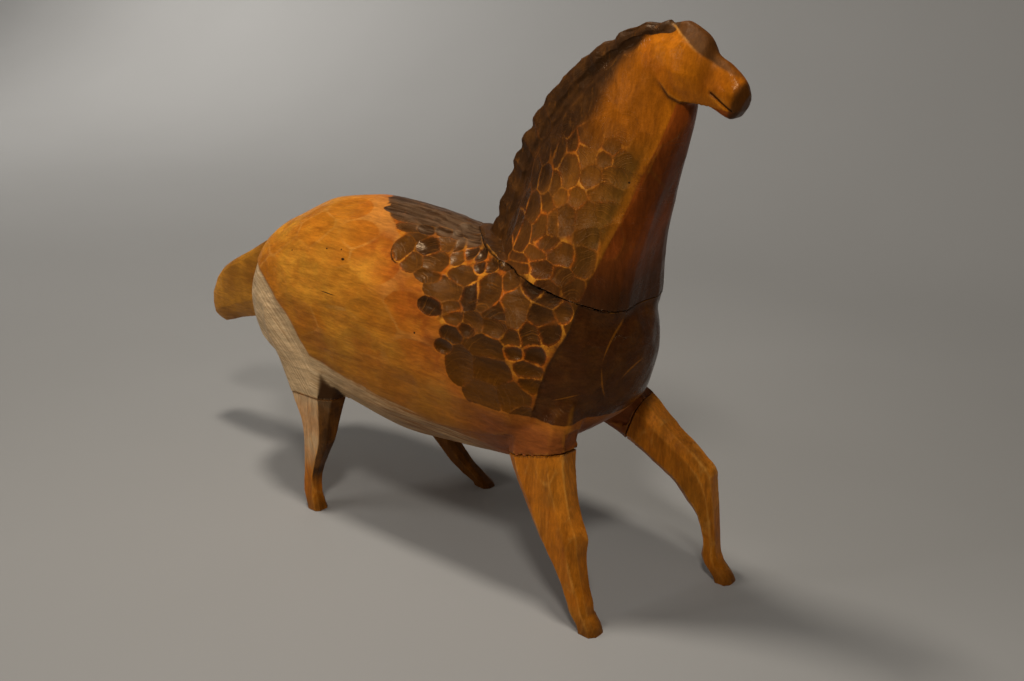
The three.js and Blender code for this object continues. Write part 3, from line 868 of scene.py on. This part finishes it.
GOLD = stain(0.66, 0.275, 0.024)
OCHRE = stain(0.50, 0.165, 0.010)
ORANGE = stain(0.48, 0.112, 0.008)
RUST = stain(0.31, 0.062, 0.006)
PALE = stain(0.72, 0.50, 0.27)
PALE_LINE = stain(0.46, 0.28, 0.13)
UMBER = stain(0.23, 0.076, 0.008)
DARK = stain(0.045, 0.017, 0.005)
BROWN = stain(0.14, 0.048, 0.007)
GREY_BROWN = stain(0.062, 0.024, 0.006)
TAN = stain(0.13, 0.040, 0.002)
TAWNY = stain(0.74, 0.235, 0.018)
STRAW = stain(0.80, 0.40, 0.09)
BRIGHT = stain(0.80, 0.34, 0.055)
# Grey of a painted sheen on the dark crown of the back
PAINTED_SHEEN_GREY = stain(0.125, 0.066, 0.032)
WORN = stain(0.66, 0.25, 0.022)
CHEST = stain(0.070, 0.020, 0.005)
OLIVE = stain(0.125, 0.052, 0.006)
REDDISH = stain(0.16, 0.032, 0.003)
PINKISH = stain(0.21, 0.050, 0.012)
HONEY = stain(0.50, 0.142, 0.005)
AMBER = stain(0.36, 0.098, 0.004)
SOOT = stain(0.012, 0.006, 0.003)


def fine_surface(finish, grain, chips, roughness_low, roughness_high, lines=None, matt=0.0):
    """Amber wax gloss over fine grain, small knife cuts and tool marks, duller where it is matt."""
    grit = finish.noise(700, 3.0)
    patch = finish.noise(55, 3.0)
    gloss = finish.step(patch, 0.3, 0.7, roughness_low, roughness_high)
    finish.set("Roughness", finish.math("ADD", gloss, finish.math("MULTIPLY", matt, 0.22)))
    finish.set("Specular IOR Level", 0.24)
    finish.set("Specular Tint", (1.0, 0.68, 0.38, 1.0))
    height = finish.math("ADD", finish.math("MULTIPLY", grain, 0.5), finish.math("MULTIPLY", grit, 0.4))
    height = finish.math("ADD", height, chips)
    if lines is not None:
        height = finish.math("ADD", height, finish.math("MULTIPLY", lines, 0.4))
    finish.set("Normal", finish.bump(height, 0.7, 0.0005))


def uneven(finish, colour, along_grain):
    """Stain taken up unevenly by the wood: lighter and darker flecks along the grain."""
    blotch = finish.step(finish.noise(0.4, 5.0, 0.65, along_grain, 0.5), 0.34, 0.68, 0.8, 1.14)
    fleck = finish.step(finish.noise(1.9, 3.0, 0.7, along_grain), 0.32, 0.68, 0.86, 1.1)
    shade = finish.math("MULTIPLY", blotch, fleck)
    return finish.mix(1.0, colour, finish.join(shade, shade, shade), "MULTIPLY")


def tool_lines(finish):
    """Fine arcs of uneven width left by the gouge inside each cut."""
    bend = finish.math("MULTIPLY", finish.noise(90, 2.0), 4.0)
    run = finish.math("MULTIPLY", finish.math("ADD", finish.layer("run"), bend), 0.85)
    cut_shift = finish.math("MULTIPLY", finish.layer("tone"), 40.0)
    arcs = finish.noise(1.0, 2.0, 0.6, finish.join(run, cut_shift, 0.0))
    patch = finish.step(finish.noise(60, 3.0), 0.38, 0.62)
    patch = finish.math("MULTIPLY", patch, finish.step(finish.layer("cover"), 0.0, 1.0))
    return finish.math("MULTIPLY", finish.step(arcs, 0.5, 0.68), patch)


def frayed_rim(finish, lines):
    """Distance from the rim of a cut, roughened by wood fibres and tool marks."""
    fibres = finish.math("MULTIPLY", finish.math("SUBTRACT", finish.noise(480, 4.0, 0.7), 0.5), 2.6)
    drift = finish.math("MULTIPLY", finish.math("SUBTRACT", finish.noise(60, 2.0), 0.5), 3.2)
    rim = finish.math("ADD", finish.math("ADD", finish.layer("rim"), fibres), drift)
    return finish.math("SUBTRACT", rim, finish.math("MULTIPLY", lines, 0.5))


def worn_rims(finish, under, rim, wear, mottle):
    """Rims between the cuts: a broad warm edge and a thin bare line where the stain is rubbed off."""
    wear = finish.math("MULTIPLY", wear, finish.step(finish.noise(42, 4.0), 0.38, 0.6, 0.12, 1.0))
    glow = finish.math("MULTIPLY", finish.step(rim, 0.1, 2.6, 0.5, 0.0), wear)
    bare = finish.math("MULTIPLY", finish.step(rim, 0.0, 0.75, 1.0, 0.0), wear)
    colour = finish.mix(glow, under, RUST)
    return finish.mix(bare, colour, finish.mix(finish.step(mottle, 0.35, 0.62), WORN, ORANGE))


def pores(finish, under, places_and_sizes):
    for place, half_length, half_width in places_and_sizes:
        under = finish.mix(finish.speck(place, half_length, half_width), under, SOOT)
    return under


def body_finish():
    finish = Finish("stained_body_wood")
    along_grain = finish.stretched((70, 300, 300))
    grain = finish.noise(1.0, 5.0, 0.6, finish.stretched((18, 320, 320)), 0.4)
    mottle = finish.noise(70, 4.0, 0.6)
    cloud = finish.noise(22, 3.0, 0.5)
    lines = tool_lines(finish)
    rim = frayed_rim(finish, lines)
    colour = finish.mix(finish.step(cloud, 0.35, 0.65), GOLD, OCHRE)
    colour = finish.mix(finish.step(mottle, 0.3, 0.75, 0.0, 0.45), colour, ORANGE)
    colour = finish.mix(finish.math("MULTIPLY", finish.layer("low"), 0.85), colour, UMBER)
    high = finish.step(finish.layer("low"), 0.2, 0.75, 1.0, 0.1)
    warm = finish.math("MULTIPLY", finish.layer("warm"), high)
    colour = finish.mix(finish.math("MULTIPLY", warm, finish.step(cloud, 0.2, 0.6, 0.4, 0.9)), colour, ORANGE)
    rust = finish.math("MULTIPLY", finish.step(warm, 0.3, 1.0), finish.step(mottle, 0.38, 0.72, 0.0, 0.8))
    colour = finish.mix(rust, colour, RUST)
    facet = finish.math("ADD", finish.layer("tone"), finish.math("SUBTRACT", cloud, 0.5))
    colour = finish.mix(finish.step(facet, 0.3, 0.9, 0.0, 0.35), colour, OCHRE)
    fibres = finish.math("MULTIPLY", finish.math("SUBTRACT", finish.noise(300, 4.0, 0.7), 0.5), 1.4)
    facet_rim = finish.math("ADD", finish.layer("rim"), fibres)
    patch = finish.step(cloud, 0.45, 0.6)
    facet_line = finish.math("MULTIPLY", finish.step(facet_rim, 0.1, 2.0, 0.24, 0.0), patch)
    facet_line = finish.math("MULTIPLY", facet_line, finish.step(finish.layer("low"), 0.1, 0.5, 1.0, 0.0))
    for place, turn, half_length, half_width in FLANK_LINES:
        pale_edge = finish.streak(place, turn, half_length, half_width)
        pale_edge = finish.math("MULTIPLY", pale_edge, finish.step(mottle, 0.4, 0.65, 0.0, 0.4))
        facet_line = finish.math("MAXIMUM", facet_line, pale_edge)
    colour = finish.mix(facet_line, colour, STRAW)
    chips = finish.chips((55, 120, 120))
    along = finish.math("MULTIPLY", finish.split("X"), 22.0)
    pale_run = finish.math("MULTIPLY", finish.layer("pale_run"), 0.55)
    pale_grain = finish.noise(1.0, 5.0, 0.65, finish.join(pale_run, along, finish.split("Y")), 0.3)
    pale_wood = finish.mix(finish.step(pale_grain, 0.35, 0.66), PALE, PALE_LINE)
    belly_wood = finish.mix(finish.step(pale_grain, 0.4, 0.6), UMBER, PALE_LINE)
    pale_wood = finish.mix(finish.layer("belly"), pale_wood, belly_wood)
    fringe = finish.math("MULTIPLY", finish.math("SUBTRACT", pale_grain, 0.5), 0.5)
    pale = finish.step(finish.math("ADD", finish.layer("pale"), fringe), 0.3, 0.8)
    colour = finish.mix(pale, colour, pale_wood)
    colour = finish.mix(finish.math("MULTIPLY", finish.layer("stub"), 0.85), colour, PINKISH)
    tail_wood = finish.mix(finish.step(cloud, 0.25, 0.8), GOLD, UMBER)
    colour = finish.mix(finish.layer("olive"), colour, tail_wood)
    tone = finish.math("ADD", finish.layer("tone"), finish.math("SUBTRACT", mottle, 0.5))
    dark = finish.mix(finish.step(tone, 0.0, 1.0), DARK, BROWN)
    dark = finish.mix(finish.math("MULTIPLY", finish.layer("ember"), 0.75), dark, TAN)
    dark = finish.mix(finish.step(lines, 0.0, 1.0, 0.0, 0.55), dark, UMBER)
    chest = finish.mix(finish.step(mottle, 0.4, 0.7, 0.0, 0.45), CHEST, BROWN)
    for place, turn, half_length, half_width in CHEST_LINES:
        faint = finish.math("MULTIPLY", finish.streak(place, turn, half_length, half_width), 0.4)
        chest = finish.mix(faint, chest, OCHRE)
    dark = finish.mix(finish.layer("front"), dark, chest)
    # Painted sheen: the dark crown of the back is greyed along the grain
    dark = finish.mix(finish.layer("crown"), dark, finish.mix(finish.step(grain, 0.4, 0.62), DARK, PAINTED_SHEEN_GREY))
    dark = worn_rims(finish, dark, rim, finish.layer("wear"), mottle)
    ragged = finish.math("MULTIPLY", finish.math("SUBTRACT", finish.noise(250, 3.0), 0.5), 1.6)
    cut_edge = finish.step(finish.math("ADD", finish.layer("cover"), ragged), 0.0, 0.9)
    soft_edge = finish.math("ADD", finish.layer("dark"), finish.math("MULTIPLY", ragged, 0.35))
    zone = finish.math("MAXIMUM", finish.step(soft_edge, 0.25, 0.8), cut_edge)
    colour = finish.mix(zone, colour, dark)
    colour = finish.mix(finish.step(finish.layer("edge"), 0.12, 0.6, 0.0, 0.3), colour, WORN)
    colour = finish.mix(finish.step(grain, 0.5, 0.75, 0.0, 0.3), colour, UMBER, "MULTIPLY")
    # Painted shade, partly stain: forward faces around the hind-leg stubs mixed towards dark
    colour = finish.mix(finish.layer("stub_stain_and_shade"), uneven(finish, colour, along_grain), DARK)
    colour = pores(finish, colour, RUMP_PORES)
    colour = finish.mix(finish.step(finish.layer("gap"), 0.45, 1.0, 0.0, 0.85), colour, SOOT)
    finish.set("Base Color", colour)
    matt = finish.math("MAXIMUM", finish.layer("crown"), finish.math("SUBTRACT", 1.0, zone))
    fine_surface(finish, grain, finish.math("MULTIPLY", chips, 1.3), 0.19, 0.34, lines, matt)
    return finish.material


def neck_finish():
    finish = Finish("stained_neck_wood")
    along_grain = finish.stretched((300, 300, 80), (0, 0.35, 0))
    grain = finish.noise(1.0, 5.0, 0.6, finish.stretched((260, 320, 24), (0, 0.35, 0)), 0.4)
    mottle = finish.noise(75, 4.0, 0.6)
    cloud = finish.noise(26, 3.0, 0.5)
    lines = tool_lines(finish)
    rim = frayed_rim(finish, lines)
    tone = finish.math("ADD", finish.layer("tone"), finish.math("SUBTRACT", mottle, 0.5))
    colour = finish.mix(finish.step(tone, 0.1, 0.9), BROWN, UMBER)
    colour = finish.mix(finish.math("MULTIPLY", finish.layer("plain"), 0.8), colour, OLIVE)
    colour = finish.mix(finish.math("MULTIPLY", finish.layer("low"), 0.75), colour, CHEST)
    colour = finish.mix(finish.step(lines, 0.0, 1.0, 0.0, 0.4), colour, UMBER)
    high = finish.math("ADD", finish.layer("high"), finish.math("SUBTRACT", cloud, 0.5))
    colour = finish.mix(finish.step(high, 0.2, 0.9), colour, AMBER)
    drift = finish.math("MULTIPLY", finish.math("SUBTRACT", cloud, 0.5), 0.6)
    shade = finish.step(finish.math("ADD", finish.layer("shade"), drift), 0.05, 0.45)
    hatch = finish.noise(1.0, 3.0, 0.6, finish.stretched((330, 330, 60), (0, -0.5, 0)), 0.6)
    mane_wood = finish.mix(finish.step(mottle, 0.42, 0.75, 0.0, 0.55), DARK, BROWN)
    mane_wood = finish.mix(finish.step(hatch, 0.56, 0.72, 0.0, 0.4), mane_wood, UMBER)
    colour = finish.mix(shade, colour, mane_wood)
    colour = worn_rims(finish, colour, rim, finish.layer("wear"), mottle)
    colour = finish.mix(finish.math("MULTIPLY", finish.layer("lip"), 0.5), colour, HONEY)
    breast = finish.mix(finish.step(cloud, 0.35, 0.65), RUST, REDDISH)
    breast = finish.mix(finish.math("MULTIPLY", finish.step(rim, 0.1, 1.4, 0.4, 0.0), cloud), breast, UMBER)
    breast = finish.mix(finish.layer("low"), breast, CHEST)
    colour = finish.mix(finish.layer("front"), colour, breast)
    face = finish.mix(finish.step(mottle, 0.4, 0.7, 0.0, 0.5), HONEY, AMBER)
    face = finish.mix(finish.step(cloud, 0.4, 0.7, 0.0, 0.5), face, RUST)
    face_share = finish.math("MULTIPLY", finish.layer("head"), finish.step(shade, 0.2, 0.8, 1.0, 0.0))
    colour = finish.mix(face_share, colour, face)
    colour = finish.mix(finish.math("MULTIPLY", finish.layer("forehead"), 0.85), colour, GREY_BROWN)
    brow = finish.math("MULTIPLY", finish.layer("brow"), finish.step(mottle, 0.42, 0.62, 0.1, 0.6))
    colour = finish.mix(brow, colour, BRIGHT)
    tip = finish.math("ADD", finish.layer("muzzle"), finish.math("SUBTRACT", mottle, 0.5))
    colour = finish.mix(finish.step(tip, 0.3, 0.9, 0.0, 0.85), colour, DARK)
    colour = finish.mix(finish.step(finish.layer("edge"), 0.08, 0.4, 0.0, 0.4), colour, WORN)
    colour = finish.mix(finish.step(grain, 0.5, 0.75, 0.0, 0.25), colour, UMBER, "MULTIPLY")
    # Painted shade in the creases under the jaw and beside the mane
    colour = finish.mix(finish.layer("painted_crease_shade"), uneven(finish, colour, along_grain), DARK)
    colour = pores(finish, colour, NECK_PORES)
    # Dark glue seam, and painted shade in the mouth slit
    colour = finish.mix(finish.step(finish.layer("gap"), 0.45, 1.0, 0.0, 0.85), colour, SOOT)
    finish.set("Base Color", colour)
    chips = finish.math("MULTIPLY", finish.chips((120, 120, 80)), 0.8)
    fine_surface(finish, grain, chips, 0.24, 0.38, lines, finish.layer("matt"))
    return finish.material


def leg_finish():
    finish = Finish("stained_leg_wood")
    along_grain = finish.stretched((300, 300, 60), (0, 0.15, 0))
    grain = finish.noise(1.0, 5.0, 0.6, finish.stretched((300, 300, 22), (0, 0.15, 0)), 0.5)
    mottle = finish.noise(85, 4.0, 0.6)
    cloud = finish.noise(30, 3.0, 0.5)
    colour = finish.mix(finish.step(cloud, 0.35, 0.65), HONEY, OCHRE)
    # Tawny upper leg, with painted light making forward-facing faces brighter
    colour = finish.mix(finish.math("MULTIPLY", finish.layer("upper"), 0.6), colour, TAWNY)
    colour = finish.mix(finish.step(mottle, 0.38, 0.75, 0.0, 0.45), colour, UMBER)
    # Painted light on the sideways-facing faces of the hind legs
    pale = finish.math("MULTIPLY", finish.layer("pale"), finish.step(cloud, 0.3, 0.6, 0.4, 0.8))
    colour = finish.mix(pale, colour, PALE)
    # Painted shade, partly stain, on the right hind leg's forward faces; the left hind leg is darkened all
    # over
    colour = finish.mix(finish.layer("dark"), colour, finish.mix(finish.step(mottle, 0.4, 0.65), DARK, BROWN))
    patch = finish.step(mottle, 0.45, 0.65)
    facet_line = finish.math("MULTIPLY", finish.step(finish.layer("rim"), 0.1, 1.8, 0.4, 0.0), patch)
    facet_line = finish.math("MULTIPLY", facet_line, finish.math("SUBTRACT", 1.0, finish.layer("dark")))
    colour = finish.mix(facet_line, colour, BRIGHT)
    edge = finish.step(finish.layer("edge"), 0.04, 0.3)
    edge = finish.math("MULTIPLY", edge, finish.step(cloud, 0.38, 0.6, 0.15, 0.6))
    colour = finish.mix(edge, colour, BRIGHT)
    colour = finish.mix(finish.math("MULTIPLY", finish.layer("hoof"), 0.75), colour, BROWN)
    colour = finish.mix(finish.step(grain, 0.48, 0.75, 0.0, 0.4), colour, UMBER, "MULTIPLY")
    colour = uneven(finish, colour, along_grain)
    colour = finish.mix(finish.step(finish.layer("gap"), 0.45, 1.0, 0.0, 0.6), colour, SOOT)
    finish.set("Base Color", colour)
    chips = finish.math("MULTIPLY", finish.chips((130, 130, 45)), 1.1)
    fine_surface(finish, grain, chips, 0.34, 0.48)
    return finish.material


def glue_in(piece, node, material):
    only(piece)
    bpy.ops.object.shade_smooth()
    piece.data.materials.clear()
    piece.data.materials.append(material)
    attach(piece, "root")
    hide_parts(node)


def pale_floor():
    """A pale floor that sweeps up far behind the horse."""
    bpy.ops.object.select_all(action="DESELECT")
    bpy.ops.mesh.primitive_grid_add(x_subdivisions=2, y_subdivisions=120, size=12, location=(0, 0, 0))
    floor = bpy.context.active_object
    floor.name = "floor"
    points = places(floor) * MM
    turn = np.clip((points[:, 1] - FLOOR_END) / FLOOR_BEND, 0, math.pi / 2)
    rise = np.maximum(points[:, 1] - FLOOR_END - FLOOR_BEND * math.pi / 2, 0)
    points[:, 1] = np.minimum(points[:, 1], FLOOR_END) + FLOOR_BEND * np.sin(turn)
    points[:, 2] = FLOOR_BEND * (1 - np.cos(turn)) + rise
    move_to(floor, points / MM)
    only(floor)
    bpy.ops.object.shade_smooth()
    paint_coat = Finish("pale_floor_paint")
    patch = paint_coat.noise(3, 2.0)
    paint_coat.set("Base Color", paint_coat.mix(patch, stain(0.35, 0.34, 0.325), stain(0.38, 0.37, 0.355)))
    paint_coat.set("Roughness", 0.7)
    floor.data.materials.append(paint_coat.material)


def lamp(name, place, target, size, power, colour, spread, in_gloss):
    light = bpy.data.lights.new(name, "AREA")
    light.shape = "DISK"
    light.size = size
    light.energy = power
    light.color = colour
    light.spread = math.radians(spread)
    stand = bpy.data.objects.new(name, light)
    bpy.context.scene.collection.objects.link(stand)
    stand.visible_glossy = in_gloss
    stand.location = place
    aim = np.asarray(target, float) - np.asarray(place, float)
    flat = math.hypot(aim[0], aim[1])
    stand.rotation_euler = (math.atan2(flat, -aim[2]), 0, math.atan2(-aim[0], aim[1]))


def studio():
    pale_floor()
    lamp("key_light", (-0.06, -0.10, 1.15), (0, 0, 0.15), 0.14, 5.6, (1.0, 0.94, 0.85), 180, True)
    lamp("side_light", (0.78, -0.90, 1.55), (0, 0, 0.15), 0.25, 9.0, (1.0, 0.95, 0.88), 180, True)
    lamp("fill_light", (-1.3, -1.3, 1.0), (0, 0, 0.15), 0.8, 8.0, (1.0, 0.97, 0.93), 180, False)
    lamp("gloss_light", (-0.75, -1.25, 0.85), (0.13, 0, 0.25), 0.1, 1.3, (1.0, 0.97, 0.93), 180, True)
    lamp("sweep_light", (-2.0, 0.2, 1.9), (-1.9, 1.3, 0.2), 0.8, 16, (1.0, 0.99, 0.97), 110, False)
    world = bpy.data.worlds.new("soft_room")
    bpy.context.scene.world = world
    world.use_nodes = True
    world.node_tree.nodes["Background"].inputs["Color"].default_value = (1.0, 0.97, 0.93, 1.0)
    world.node_tree.nodes["Background"].inputs["Strength"].default_value = 0.055
    bpy.context.scene.view_settings.view_transform = "Standard"
    camera = bpy.data.objects.new("camera", bpy.data.cameras.new("camera"))
    bpy.context.scene.collection.objects.link(camera)
    camera.location = (0.6237, -0.6536, 0.5003)
    camera.rotation_euler = (math.radians(69), 0, math.radians(39.49))
    camera.data.lens = 42
    camera.data.sensor_width = 36
    bpy.context.scene.camera = camera


studio()
glue_in(carve_body(), "body", body_finish())
glue_in(carve_neck(), "neck_and_head", neck_finish())
leg_wood = leg_finish()
for order, leg_node in enumerate(LEG_SEAMS):
    glue_in(carve_leg(leg_node, 20 + order), leg_node, leg_wood)
